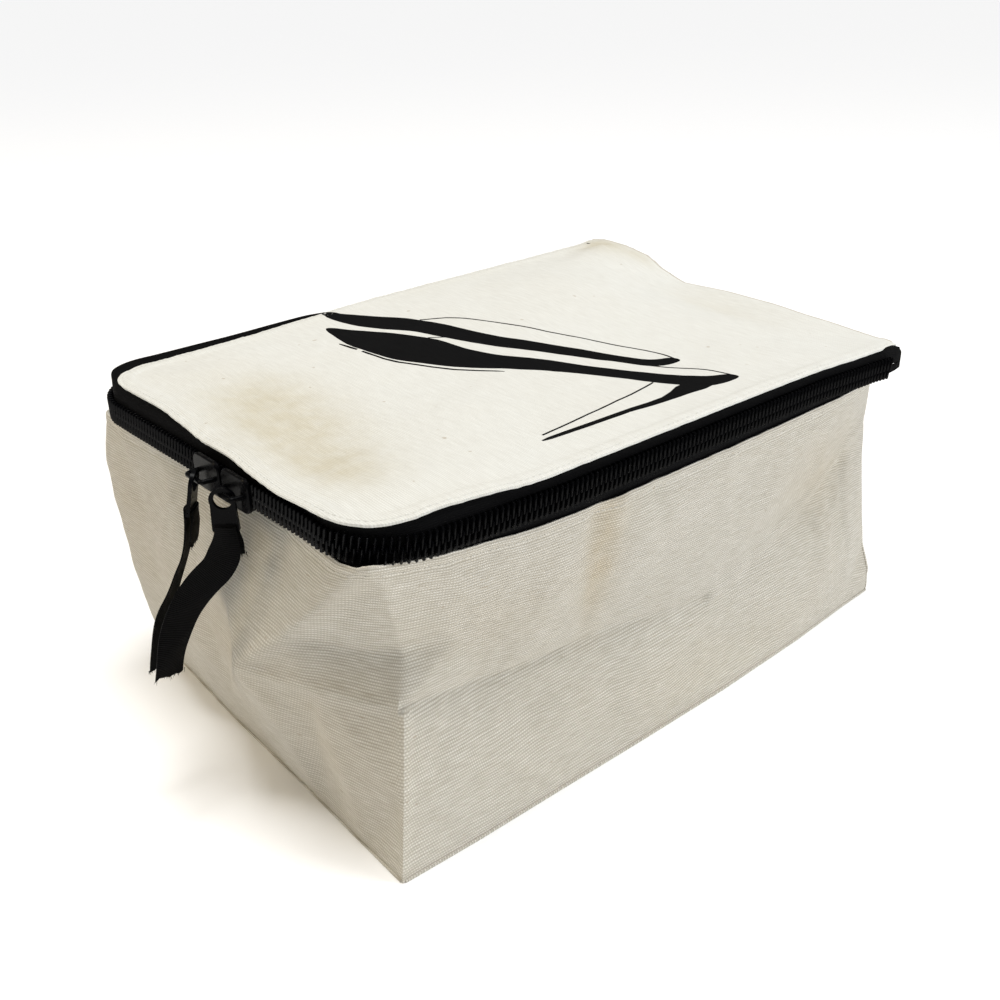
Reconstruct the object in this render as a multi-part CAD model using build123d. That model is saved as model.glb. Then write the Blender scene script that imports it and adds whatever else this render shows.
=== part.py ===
from build123d import *
from math import radians, tan
import os

# A soft canvas shoe box: a base, one wall strip round three sides, a back wall and a
# lid that is sewn along the back and closed by a two-slider coil zip round the rest.
# Millimetres. Origin: the centre of the underside. +Z is up, the sliders meet on the
# short front wall at -Y, and the lid's seam runs along the short back wall at +Y.

# the box
box_length = 330.0
box_width = 216.0
box_height = 155.0
canvas = 1.2               # thickness of the canvas, interlining included
rim_corner_radius = 28.0   # front corners at the zip, seen from above
base_corner_radius = 8.0   # the same corners at the floor
soft_clearance = 0.3       # room left round soft pieces that move past each other

# the zip
band = 22.0                # height of zip that shows between wall and lid
tape = 0.9                 # thickness of the zip tapes
tape_lap = 8.0             # how far each tape is sewn in behind the wall and under the lid
coil_height = 4.5          # one half of the chain, measured up the wall
coil_depth = 3.2           # how far the chain stands off the tape
chain_gap = 1.6            # slot between the two halves, where the slider's post runs
coil_end_gap = 14.0        # bare tape between the last tooth and the back wall
tape_end_gap = 5.0         # upper tape stops this far from the lid's seam

# the lid's seam
seam_radius = 1.5          # rolled edge that the lid turns about
seam_tongue = 4.0          # how far the roll's tail runs down to the back wall

# seam bindings inside
binding = 1.0
binding_width = 10.0

# sliders
left_slider_x = 8.0
right_slider_x = 30.0
slider_length = 20.0
slider_height = 14.5
plate = 1.6                # thickness of the front and back plates
plate_corner = 4.0
slider_play = 0.35         # between slider and coil, tape or slot
lip_height = 1.65          # edge under the coil that keeps the slider on the tape
post_width = 3.0
bar_radius = 1.0           # crown that the pull tab hangs on
bar_straight = 9.8
bar_standoff = 5.2         # from the front plate to the bar's centre
crown_foot = 13.4          # distance between the crown's feet

# pull tabs
tab_thickness = 1.6
tab_width = 9.5
tab_foot_width = 10.6
eye_radius = 5.1
eye_hole_radius = 3.55
eye_drop = 1.7             # the eye's centre hangs this far below the bar's centre
slot_drop = 12.7           # the same for the ribbon's slot
slot_width = 8.6
slot_height = 1.8
tab_end = 15.2             # from the bar's centre to the tab's lower end
left_tab_yaw = -43.0       # how far each tab is turned on its bar, about the vertical
right_tab_yaw = 47.0
left_tab_lean = 12.0       # the left tab is pushed outwards at its lower end

# ribbons: one long leg and one short leg, looped through the slot
ribbon_width = 13.0
ribbon = 0.9
ribbon_tail = 18.0
web_width = 8.0
# long legs in the tab's own frame: (drift away from the tab, height above the bar)
left_ribbon_route = [(0.0, -12.25), (0.0, -27.0), (2.05, -47.0), (0.45, -68.0), (-4.75, -88.2)]
right_ribbon_route = [(0.0, -12.25), (1.2, -27.5), (11.4, -45.0), (20.2, -63.4), (24.0, -83.4)]

# worked out from the above
half_length = box_length / 2
half_width = box_width / 2
wall_top = box_height - band
split_height = box_height - band / 2
lower_tape_top = split_height - chain_gap / 2
upper_tape_foot = split_height + chain_gap / 2
lid_underside = box_height - canvas
back_face = half_length - canvas
seam_y = half_length - seam_radius
seam_z = box_height - seam_radius
coil_outer = canvas - coil_depth
front_plate_back = -half_length + coil_outer - slider_play
front_plate_front = front_plate_back - plate
back_plate_front = -half_length + canvas + tape + soft_clearance
back_plate_back = back_plate_front + plate
bar_y = front_plate_front - bar_standoff
leg_offset = tab_thickness / 2 + soft_clearance + ribbon / 2


def plan(radius, inset, back):
    """Outline seen from above: front corners rounded, straight sides, open length to y = back."""
    front = -half_length + inset
    side = half_width - inset
    corner = max(radius - inset, 0.5)
    outline = Pos(0, (front + back) / 2) * Rectangle(2 * side, back - front)
    return fillet(outline.vertices().group_by(Axis.Y)[0], corner)


def wall_ring(outer_inset, inner_inset, back):
    """A strip that follows the rim round the front and both sides, and is open at the back."""
    outer = plan(rim_corner_radius, outer_inset, back)
    return outer - plan(rim_corner_radius, inner_inset, back + binding_width)


def slab(face, low, high):
    return extrude(Pos(0, 0, low) * face, high - low)


def block(x_range, y_range, z_range):
    size = [b - a for a, b in (x_range, y_range, z_range)]
    middle = [(a + b) / 2 for a, b in (x_range, y_range, z_range)]
    return Pos(*middle) * Box(*size)


def tapered(inset, back, low, high):
    """The box's body: corners tight at the floor, opening to the rim's radius at the top."""
    foot = Pos(0, 0, low) * plan(base_corner_radius, inset, back)
    rim = Pos(0, 0, high) * plan(rim_corner_radius, inset, back)
    return loft([foot, rim], ruled=True)


def base_panel():
    return slab(plan(base_corner_radius, 0, half_length), 0, canvas)


def side_gusset():
    outer = tapered(0, back_face, canvas, wall_top)
    return outer - tapered(canvas, back_face + binding_width, canvas, wall_top)


def back_panel():
    return block((-half_width, half_width), (back_face, half_length), (canvas, seam_z - seam_tongue))


def hinge_seam():
    roll = Pos(0, seam_y, seam_z) * Rot(Y=90) * Cylinder(seam_radius, box_width)
    tongue = block((-half_width, half_width), (back_face, half_length), (seam_z - seam_tongue, seam_z))
    return roll + tongue


def lid_panel():
    return slab(plan(rim_corner_radius, 0, seam_y - seam_radius - soft_clearance), lid_underside, box_height)


def lower_zip_tape():
    return slab(wall_ring(canvas, canvas + tape, back_face), wall_top - tape_lap, lower_tape_top)


def upper_zip_tape():
    back = seam_y - tape_end_gap
    upright = slab(wall_ring(canvas, canvas + tape, back), upper_tape_foot, lid_underside)
    turned_in = slab(wall_ring(canvas, canvas + tape + tape_lap, back), lid_underside - tape, lid_underside)
    return upright + turned_in


def coil(low):
    return slab(wall_ring(coil_outer, canvas, back_face - coil_end_gap), low, low + coil_height)


def base_seam_binding():
    """A turned strip on the seam between the base and the walls, all round."""
    top = canvas + binding_width
    outer = tapered(canvas, back_face, canvas, wall_top)
    inner = tapered(canvas + binding, back_face - binding, canvas, wall_top)
    floor_layer = block((-half_width, half_width), (-half_length, half_length), (canvas, top))
    return (outer - inner) & floor_layer


def corner_seam_bindings():
    """The two upright seams between the wall strip and the back wall."""
    low = canvas + binding_width
    high = wall_top - tape_lap
    strips = []
    for side in (-1, 1):
        wall = side * (half_width - canvas)
        inner = wall - side * binding_width
        strip = block(sorted((wall, inner)), (back_face - binding, back_face), (low, high))
        strips.append(strip)
    return Compound(strips)


def hinge_seam_binding():
    side = half_width - canvas - tape - soft_clearance
    high = seam_z - seam_tongue
    return block((-side, side), (back_face - binding, back_face), (high - binding_width, high))


def lid_seam_binding():
    """Covers the raw edge of the upper tape under the lid."""
    back = seam_y - tape_end_gap
    turned_in = canvas + tape + tape_lap
    strip = wall_ring(turned_in - binding_width / 2, turned_in + binding_width / 2, back)
    under_tape = slab(strip, lid_underside - tape - binding, lid_underside - tape)
    beside_tape = slab(wall_ring(turned_in, turned_in + binding_width / 2, back),
                       lid_underside - tape, lid_underside)
    return under_tape + beside_tape


def rounded_plate(y_range):
    outline = RectangleRounded(slider_length, slider_height, plate_corner)
    face = Plane.XZ.offset(-y_range[1]) * outline
    solid = extrude(face, y_range[1] - y_range[0])
    return Pos(0, 0, split_height) * solid


def crown():
    """The bridge on the front plate, a round bar that the pull tab hangs on."""
    foot = crown_foot / 2
    flat = bar_straight / 2 + bar_radius
    root_y = front_plate_front + plate / 2
    corners = [(-foot, root_y), (-flat, bar_y), (flat, bar_y), (foot, root_y)]
    path = FilletPolyline(*[(x, y, split_height) for x, y in corners], radius=1.4)
    return sweep(Plane(path @ 0, z_dir=path % 0) * Circle(bar_radius), path)


def slider(centre_x):
    front = rounded_plate((front_plate_front, front_plate_back))
    front = chamfer(front.faces().sort_by(Axis.Y)[0].edges(), plate / 3)
    back = rounded_plate((back_plate_front, back_plate_back))
    half_post = chain_gap / 2 - 0.2
    post = block((-post_width / 2, post_width / 2), (front_plate_front + plate / 2, back_plate_back - plate / 2),
                 (split_height - half_post, split_height + half_post))
    edge = split_height - slider_height / 2
    half_lip = slider_length / 2 - plate_corner
    lip_end = -half_length + canvas - soft_clearance
    lip = block((-half_lip, half_lip), (front_plate_back - plate / 2, lip_end), (edge, edge + lip_height))
    return Pos(centre_x, 0, 0) * (front + back + post + lip + crown())


def tab_frame(centre_x, yaw, lean):
    """Where a pull tab hangs: x across the tab, -y out of its face, z up, bar at the origin."""
    return Pos(centre_x, bar_y, split_height) * Rot(Z=yaw) * Rot(X=-lean)


def pull_tab():
    eye = Pos(0, -eye_drop) * Circle(eye_radius)
    shoulder = -eye_drop
    foot = -tab_end
    half_top = tab_width / 2
    half_foot = tab_foot_width / 2
    body = make_face(Polyline((-half_top, shoulder), (half_top, shoulder), (half_foot, foot),
                              (-half_foot, foot), close=True))
    body = fillet(body.vertices().group_by(Axis.Y)[0], 1.5)
    hole = Pos(0, -eye_drop) * Circle(eye_hole_radius)
    slot = Pos(0, -slot_drop) * RectangleRounded(slot_width, slot_height, 0.6)
    face = Plane.XZ.offset(-tab_thickness / 2) * (eye + body - hole - slot)
    return extrude(face, tab_thickness)


def route_path(name, points, plane):
    """Straight runs joined by tangent arcs as large as the shorter run beside each allows."""
    radii = []
    for before, here, after in zip(points, points[1:], points[2:]):
        arrive = Vector(*here) - Vector(*before)
        leave = Vector(*after) - Vector(*here)
        turn = arrive.get_angle(leave)
        radii.append(0.45 * min(arrive.length, leave.length) / tan(radians(turn) / 2))
    path = FilletPolyline(*[plane.from_local_coords(point) for point in points], radius=radii)
    print(name, "radii", [round(radius, 1) for radius in radii], "length", round(path.length, 2))
    return path


def ribbon_legs(long_leg):
    """The long leg in front of the tab, the short tail behind it and the web through the slot."""
    top = -slot_drop + ribbon / 2
    tail = block((-ribbon_width / 2, ribbon_width / 2), (leg_offset - ribbon / 2, leg_offset + ribbon / 2),
                 (top - ribbon_tail, top))
    web = block((-web_width / 2, web_width / 2), (-leg_offset, leg_offset), (top - ribbon, top))
    return long_leg + tail + web


def left_ribbon():
    """Its long leg bends out of the tab's face."""
    plane = Plane(origin=(0, -leg_offset, 0), x_dir=(0, -1, 0), z_dir=(-1, 0, 0))
    path = route_path("left_pull_ribbon", [(drift, height, 0) for drift, height in left_ribbon_route], plane)
    section = Plane(path @ 0, x_dir=(1, 0, 0), z_dir=path % 0) * Rectangle(ribbon_width, ribbon)
    check_volume("left_pull_ribbon", sweep(section, path), path)
    return ribbon_legs(sweep(section, path))


def right_ribbon():
    """Its long leg is drawn aside within the tab's plane."""
    plane = Plane(origin=(0, -leg_offset, 0), x_dir=(-1, 0, 0), z_dir=(0, 1, 0))
    path = route_path("right_pull_ribbon", [(drift, height, 0) for drift, height in right_ribbon_route], plane)
    section = Plane(path @ 0, x_dir=(0, 1, 0), z_dir=path % 0) * Rectangle(ribbon, ribbon_width)
    check_volume("right_pull_ribbon", sweep(section, path), path)
    return ribbon_legs(sweep(section, path))


def check_volume(name, leg, path):
    expected = ribbon_width * ribbon * path.length
    print(name, "volume", round(leg.volume, 1), "section times length", round(expected, 1))


left_frame = tab_frame(left_slider_x, left_tab_yaw, left_tab_lean)
right_frame = tab_frame(right_slider_x, right_tab_yaw, 0.0)

nodes = {
    "base_panel": base_panel(),
    "side_gusset": side_gusset(),
    "back_panel": back_panel(),
    "hinge_seam": hinge_seam(),
    "lid_panel": lid_panel(),
    "lower_zip_tape": lower_zip_tape(),
    "upper_zip_tape": upper_zip_tape(),
    "lower_zip_coil": coil(lower_tape_top - coil_height),
    "upper_zip_coil": coil(upper_tape_foot),
    "base_seam_binding": base_seam_binding(),
    "corner_seam_bindings": corner_seam_bindings(),
    "hinge_seam_binding": hinge_seam_binding(),
    "lid_seam_binding": lid_seam_binding(),
    "left_slider": slider(left_slider_x),
    "right_slider": slider(right_slider_x),
    "left_pull_tab": left_frame * pull_tab(),
    "right_pull_tab": right_frame * pull_tab(),
    "left_pull_ribbon": left_frame * left_ribbon(),
    "right_pull_ribbon": right_frame * right_ribbon(),
}

os.makedirs("parts", exist_ok=True)
for node, shape in nodes.items():
    export_step(shape, f"parts/{node}.step")
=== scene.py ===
import bpy
import math
import random
from mathutils import Matrix, Vector, noise
from mathutils.geometry import delaunay_2d_cdt


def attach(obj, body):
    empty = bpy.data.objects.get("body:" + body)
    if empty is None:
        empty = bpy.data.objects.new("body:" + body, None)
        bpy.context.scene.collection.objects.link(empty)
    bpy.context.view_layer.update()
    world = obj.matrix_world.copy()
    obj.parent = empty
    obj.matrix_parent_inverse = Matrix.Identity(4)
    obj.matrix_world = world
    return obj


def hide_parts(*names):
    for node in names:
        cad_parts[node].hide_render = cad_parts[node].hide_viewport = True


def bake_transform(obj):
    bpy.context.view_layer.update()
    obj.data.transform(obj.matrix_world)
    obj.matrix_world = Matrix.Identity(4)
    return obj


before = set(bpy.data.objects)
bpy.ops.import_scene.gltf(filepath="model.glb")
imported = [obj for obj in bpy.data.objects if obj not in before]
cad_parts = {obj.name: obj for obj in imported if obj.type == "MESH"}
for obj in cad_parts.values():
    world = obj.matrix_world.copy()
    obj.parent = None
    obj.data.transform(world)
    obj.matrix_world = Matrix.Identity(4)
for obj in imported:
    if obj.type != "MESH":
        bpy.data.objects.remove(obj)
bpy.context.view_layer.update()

print("frame loaded")
random.seed(11)
mm = 0.001
scene = bpy.context.scene
for item in bpy.context.selected_objects:
    item.select_set(False)

view = {
    "place": (0.3765, -0.3394, 0.3157),
    "right": (0.66803, 0.74397, -0.0157),
    "up": (-0.31239, 0.29953, 0.90149),
    "back": (0.67539, -0.59732, 0.43250),
    "lens": 39.36,
    "shift": (-0.0061, 0.0038),
}


def addCamera():
    data = bpy.data.cameras.new("camera")
    data.sensor_width = 36
    data.lens = view["lens"]
    data.shift_x, data.shift_y = view["shift"]
    data.clip_start = 0.01
    data.dof.use_dof = False
    holder = bpy.data.objects.new("camera", data)
    scene.collection.objects.link(holder)
    turn = Matrix((view["right"], view["up"], view["back"])).transposed()
    holder.matrix_world = Matrix.Translation(view["place"]) @ turn.to_4x4()
    scene.camera = holder


addCamera()


def addMesh(name, vertices, faces, uvs=None):
    # vertices and uvs in millimetres
    mesh = bpy.data.meshes.new(name)
    mesh.from_pydata([Vector(v) * mm for v in vertices], [], faces)
    if uvs is not None:
        layer = mesh.uv_layers.new(name="cloth")
        for loop in mesh.loops:
            u, v = uvs[loop.vertex_index]
            layer.data[loop.index].uv = (u * mm, v * mm)
    mesh.validate()
    mesh.update()
    piece = bpy.data.objects.new(name, mesh)
    scene.collection.objects.link(piece)
    return piece


def gridFaces(rowCount, columnCount, start=0, flip=False):
    faces = []
    for row in range(rowCount - 1):
        for column in range(columnCount - 1):
            a = start + row * columnCount + column
            quad = (a, a + 1, a + columnCount + 1, a + columnCount)
            faces.append(quad[::-1] if flip else quad)
    return faces


def pointOut(piece, toward):
    # turns the whole sheet over if it faces away from where toward(centre) points
    score = 0.0
    for face in piece.data.polygons:
        score += face.normal.dot(toward(face.center)) * face.area
    if score < 0:
        piece.data.flip_normals()


def fromMiddle(centre):
    return (centre - Vector((0, 0, 0.07))) * Vector((1, 1, 0.2))


def upward(centre):
    return Vector((0, 0, 1))


def inward(centre):
    return -fromMiddle(centre)


def finishMesh(piece, thickness=0.0, offset=-1.0, angle=38):
    # gives a sheet its thickness and smooths its shading
    bpy.context.view_layer.objects.active = piece
    piece.select_set(True)
    if thickness:
        wall = piece.modifiers.new("thickness", "SOLIDIFY")
        wall.thickness = thickness * mm
        wall.offset = offset
        wall.use_even_offset = False
        bpy.ops.object.modifier_apply(modifier=wall.name)
    bpy.ops.object.shade_smooth_by_angle(angle=math.radians(angle))
    piece.select_set(False)


def gridPiece(name, rows, uvRows, toward, thickness, offset=-1.0):
    vertices = [point for row in rows for point in row]
    uvs = [pair for row in uvRows for pair in row]
    piece = addMesh(name, vertices, gridFaces(len(rows), len(rows[0])), uvs)
    pointOut(piece, toward)
    finishMesh(piece, thickness, offset)
    return piece


def joinAll(name, pieces):
    bpy.ops.object.select_all(action="DESELECT")
    for piece in pieces:
        piece.select_set(True)
    bpy.context.view_layer.objects.active = pieces[0]
    bpy.ops.object.join()
    pieces[0].name = name
    pieces[0].data.name = name
    pieces[0].select_set(False)
    return pieces[0]


def fractal(x, y, z, size, octaves=3):
    return noise.fractal(Vector((x, y, z)) / size, 1.0, 2.0, octaves)


def table(points, at):
    # straight interpolation in rows of (place, value, value ...)
    if at <= points[0][0]:
        return points[0][1:]
    for low, high in zip(points, points[1:]):
        if at <= high[0]:
            share = (at - low[0]) / (high[0] - low[0])
            share = share * share * (3 - 2 * share) * 0.5 + share * 0.5
            return tuple(a + (b - a) * share for a, b in zip(low[1:], high[1:]))
    return points[-1][1:]


def spread(low, high, count):
    # evenly spaced places from low to high, both ends included
    return [low + (high - low) * k / count for k in range(count + 1)]


def ease(low, high, at):
    share = min(max((at - low) / (high - low), 0), 1)
    return share * share * (3 - 2 * share)


ribbonPull = {
    "width": 12.5,
    "thickness": 0.55,
    "legOffset": 1.55,
    "tail": {"left": 16.0, "right": 13.5},
    "barY": -174.15,
    "barZ": 144.0,
    "slotTop": -12.25,   # below the bar, where the ribbon comes out of its tab
    "foldRun": 3.2,      # of ribbon used up in the fold through the slot
    "tailDrift": {"left": 0, "right": 0.9},
    "left": {"x": 8.0, "yaw": -43.0, "lean": 12.0, "twist": 42, "bow": 0.8,
             "route": [(0.0, -12.25), (-2.2, -28.0), (2.0, -45.5), (6.3, -67.5), (4.6, -90.5)]},
    "right": {"x": 30.0, "yaw": 47.0, "lean": 0.0, "twist": -50, "bow": 0.9,
              "route": [(0.0, -12.25), (-0.4, -25.0), (15.7, -39.8), (27.5, -61.2), (31.3, -79.6)]},
}


def tabFrame(side):
    facts = ribbonPull[side]
    place = Matrix.Translation((facts["x"], ribbonPull["barY"], ribbonPull["barZ"]))
    return (place @ Matrix.Rotation(math.radians(facts["yaw"]), 4, "Z")
            @ Matrix.Rotation(math.radians(-facts["lean"]), 4, "X"))


def smoothLine(name, points):
    # points read from the smooth line that has the route's points as its control points
    curve = bpy.data.curves.new(name, "CURVE")
    curve.dimensions = "3D"
    curve.resolution_u = 14
    spline = curve.splines.new("NURBS")
    spline.points.add(len(points) - 1)
    for knot, point in zip(spline.points, points):
        knot.co = (*point, 1)
    spline.order_u = 3
    spline.use_endpoint_u = True
    holder = bpy.data.objects.new(name, curve)
    scene.collection.objects.link(holder)
    mesh = bpy.data.meshes.new_from_object(holder)
    line = [vertex.co.copy() for vertex in mesh.vertices]
    bpy.data.objects.remove(holder)
    bpy.data.curves.remove(curve)
    bpy.data.meshes.remove(mesh)
    return line


def addRibbon(side):
    facts = ribbonPull[side]
    frameOf = tabFrame(side)
    leg = ribbonPull["legOffset"]
    if side == "left":
        local = [(0, -leg - drift, height) for drift, height in facts["route"]]
    else:
        local = [(-drift, -leg, height) for drift, height in facts["route"]]
    line = smoothLine(side + "Route", [(frameOf @ Vector(point)) * mm for point in local])
    across = (frameOf.to_3x3() @ Vector((1, 0, 0))).normalized()
    columns = 8
    rows, uvRows = [], []
    run = 0.0
    total = sum((b - a).length for a, b in zip(line, line[1:])) / mm
    frays = []
    for index, point in enumerate(line):
        before, after = line[max(index - 1, 0)], line[min(index + 1, len(line) - 1)]
        along = (after - before).normalized()
        if index:
            run += (point - line[index - 1]).length / mm
        share = run / total
        turn = math.radians(facts["twist"]) * ease(0.25, 1.0, share)
        wide = (across - along * across.dot(along)).normalized()
        wide = Matrix.Rotation(turn, 3, along) @ wide
        face = along.cross(wide)
        narrow = 0.66 + 0.34 * ease(0.0, 13.0, run)
        row, uvRow = [], []
        for column in range(columns + 1):
            t = 2 * column / columns - 1
            offset = t * ribbonPull["width"] / 2 * narrow
            cup = facts["bow"] * (1 - t * t) * (1.6 - narrow) + 0.25 * math.sin(run * 0.23 + 2 * t)
            ragged = 0.0
            if index == len(line) - 1:
                ragged = random.uniform(-1.3, 0.5)
            spot = point / mm + wide * offset + face * cup + along * ragged
            row.append(spot)
            uvRow.append((offset, run))
            if index == len(line) - 1:
                frays.append((spot, along, wide, face))
        rows.append(row)
        uvRows.append(uvRow)
    parts = [gridPiece(side + "Leg", rows, uvRows, lambda c: Vector((1, -1, 0.2)),
                       ribbonPull["thickness"], 0)]
    # the short tail behind the tab and the fold through its slot
    rows, uvRows = [], []
    top, fold, lastStep = ribbonPull["slotTop"], ribbonPull["foldRun"], 18
    for step in range(lastStep + 1):
        run = step * (ribbonPull["tail"][side] + fold) / lastStep
        bend = min(run / fold, 1.0)
        if run < fold:
            angle = math.pi * run / fold
            y = -leg * math.cos(angle)
            z = top + 0.55 * math.sin(angle)
        else:
            y = leg + 0.5 * ease(fold, 14, run)
            z = top - (run - fold)
        aside = ribbonPull["tailDrift"][side] * ease(5, 14, run)
        narrow = 0.64 + 0.34 * ease(4.0, 13.0, run)
        row, uvRow = [], []
        for column in range(columns + 1):
            t = 2 * column / columns - 1
            offset = t * ribbonPull["width"] / 2 * narrow
            ragged = random.uniform(-0.4, 1.3) if step == lastStep else 0.0
            row.append(frameOf @ Vector((offset - aside, y + 0.25 * (1 - t * t) * bend, z + ragged)))
            uvRow.append((offset, -run))
            if step == lastStep:
                down = frameOf.to_3x3() @ Vector((0, 0, -1))
                frays.append((row[-1], down, across, down.cross(across)))
        rows.append(row)
        uvRows.append(uvRow)
    parts.append(gridPiece(side + "Tail", rows, uvRows, lambda c: Vector((-1, 1, 0.1)),
                           ribbonPull["thickness"], 0))
    parts.append(addFrays(side + "Frays", frays))
    piece = joinAll(side + "Ribbon", parts)
    piece.data.materials.clear()
    piece.data.materials.append(finishes["ribbon"])
    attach(piece, side + "_puller")
    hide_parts(side + "_pull_ribbon")


def addFrays(name, roots):
    # loose yarn ends along a cut
    vertices, faces, uvs = [], [], []
    for root, along, wide, face in roots:
        for strand in range(4):
            start = root + wide * random.uniform(-0.8, 0.8) - along * 0.8
            lean = wide * random.uniform(-0.3, 0.3) + face * random.uniform(-0.3, 0.3)
            reach = random.uniform(1.2, 2.6)
            thick = random.uniform(0.10, 0.19)
            base = len(vertices)
            for step in range(4):
                share = step / 3
                centre = start + along * reach * share + lean * reach * share * share
                size = thick * (1 - 0.75 * share)
                for corner in range(3):
                    angle = corner * 2.0944   # a third of a turn
                    vertices.append(centre + wide * size * math.cos(angle) + face * size * math.sin(angle))
                    uvs.append((0, reach * share))
            for step in range(3):
                for corner in range(3):
                    a = base + step * 3 + corner
                    b = base + step * 3 + (corner + 1) % 3
                    faces.append((a, b, b + 3, a + 3))
            faces.append((base + 2, base + 1, base))
            faces.append((base + 9, base + 10, base + 11))
    return addMesh(name, vertices, faces, uvs)


def addNode(tree, kind, values=None, **settings):
    node = tree.nodes.new(kind)
    for key, value in settings.items():
        setattr(node, key, value)
    for key, value in (values or {}).items():
        if isinstance(value, bpy.types.NodeSocket):
            tree.links.new(value, node.inputs[key])
        else:
            node.inputs[key].default_value = value
    return node


def calc(tree, operation, first, second=0.0, third=0.0, clamp=False):
    node = addNode(tree, "ShaderNodeMath", {0: first, 1: second, 2: third}, operation=operation)
    node.use_clamp = clamp
    return node.outputs[0]


def mixColour(tree, factor, first, second, blend="MIX"):
    # the colour sockets of a mix node are its inputs 6 and 7 and its output 2
    return addNode(tree, "ShaderNodeMix", {0: factor, 6: first, 7: second},
                   data_type="RGBA", blend_type=blend).outputs[2]


def ramp(tree, factor, low, high, toLow=0.0, toHigh=1.0):
    return addNode(tree, "ShaderNodeMapRange", {0: factor, 1: low, 2: high, 3: toLow, 4: toHigh}).outputs[0]


def mottle(tree, place, scale, detail, **more):
    return addNode(tree, "ShaderNodeTexNoise", {"Vector": place, "Scale": scale, "Detail": detail,
                                                **more}).outputs[0]


def wave(tree, phase):
    # from 0 to 1 and back over each whole step of the phase
    turned = calc(tree, "SINE", calc(tree, "MULTIPLY", phase, 2 * math.pi))
    return calc(tree, "MULTIPLY_ADD", turned, 0.5, 0.5)


def newGroup(name, inputs, outputs):
    group = bpy.data.node_groups.new(name, "ShaderNodeTree")
    for label, kind, value in inputs:
        socket = group.interface.new_socket(label, in_out="INPUT", socket_type=kind)
        if value is not None:
            socket.default_value = value
    for label, kind in outputs:
        group.interface.new_socket(label, in_out="OUTPUT", socket_type=kind)
    return group, group.nodes.new("NodeGroupInput").outputs, group.nodes.new("NodeGroupOutput").inputs


def makeWeaveGroup():
    # crossing yarns from cloth coordinates in metres: pitches in millimetres
    group, given, result = newGroup(
        "weave",
        [("Vector", "NodeSocketVector", None), ("Across Pitch", "NodeSocketFloat", 1.4),
         ("Along Pitch", "NodeSocketFloat", 0.7), ("Unevenness", "NodeSocketFloat", 0.3),
         ("Slub", "NodeSocketFloat", 0.4)],
        [("Height", "NodeSocketFloat"), ("Gap", "NodeSocketFloat"), ("Yarn Tone", "NodeSocketFloat")])
    split = addNode(group, "ShaderNodeSeparateXYZ", {0: given["Vector"]}).outputs
    u = calc(group, "MULTIPLY", split[0], 1000.0)
    v = calc(group, "MULTIPLY", split[1], 1000.0)
    # yarns wander and thicken a little along their length
    stretched = addNode(group, "ShaderNodeCombineXYZ", {0: calc(group, "MULTIPLY", u, 0.03),
                                                        1: calc(group, "MULTIPLY", v, 0.16)}).outputs[0]
    wander = mottle(group, stretched, 1.0, 3.0)
    drift = calc(group, "MULTIPLY", calc(group, "SUBTRACT", wander, 0.5), given["Unevenness"])
    ribPhase = calc(group, "ADD", calc(group, "DIVIDE", v, given["Across Pitch"]), drift)
    rib = wave(group, ribPhase)
    half = calc(group, "MULTIPLY", calc(group, "FLOOR", ribPhase), 0.5)
    crossPhase = calc(group, "ADD", calc(group, "DIVIDE", u, given["Along Pitch"]), half)
    cross = calc(group, "MULTIPLY_ADD", wave(group, crossPhase), 0.58, 0.42)
    height = calc(group, "MULTIPLY", calc(group, "POWER", rib, 0.6), cross)
    # slubs: short thick places on single yarns
    slubPlace = addNode(group, "ShaderNodeCombineXYZ", {0: calc(group, "MULTIPLY", u, 0.11),
                                                        1: calc(group, "MULTIPLY", v, 0.9)}).outputs[0]
    slub = mottle(group, slubPlace, 1.0, 2.0)
    slubMask = ramp(group, slub, 0.58, 0.78)
    thick = calc(group, "MULTIPLY", slubMask, given["Slub"])
    group.links.new(calc(group, "ADD", height, thick), result["Height"])
    group.links.new(calc(group, "SUBTRACT", 1.0, height, clamp=True), result["Gap"])
    even = calc(group, "MULTIPLY_ADD", wander, 0.35, 0.33)
    tone = calc(group, "ADD", calc(group, "MULTIPLY", calc(group, "SUBTRACT", slub, 0.5), 1.5), even)
    group.links.new(tone, result["Yarn Tone"])
    return group


def makeSoilGroup():
    # broad uneven toning and small flecks
    group, given, result = newGroup(
        "toning",
        [("Vector", "NodeSocketVector", None), ("Patch Size", "NodeSocketFloat", 22.0),
         ("Fleck Share", "NodeSocketFloat", 0.5)],
        [("Patches", "NodeSocketFloat"), ("Flecks", "NodeSocketFloat"), ("Fuzz", "NodeSocketFloat")])
    patches = mottle(group, given["Vector"], given["Patch Size"], 4.0, Roughness=0.55)
    group.links.new(ramp(group, patches, 0.38, 0.72), result["Patches"])
    stretched = addNode(group, "ShaderNodeMapping", {"Vector": given["Vector"],
                                                     "Scale": (260.0, 260.0, 900.0)}).outputs[0]
    flecks = mottle(group, stretched, 1.0, 0.0)
    limit = calc(group, "SUBTRACT", 0.86, calc(group, "MULTIPLY", given["Fleck Share"], 0.12))
    group.links.new(ramp(group, calc(group, "SUBTRACT", flecks, limit), 0.0, 0.04), result["Flecks"])
    group.links.new(mottle(group, given["Vector"], 2600.0, 2.0), result["Fuzz"])
    return group


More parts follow.
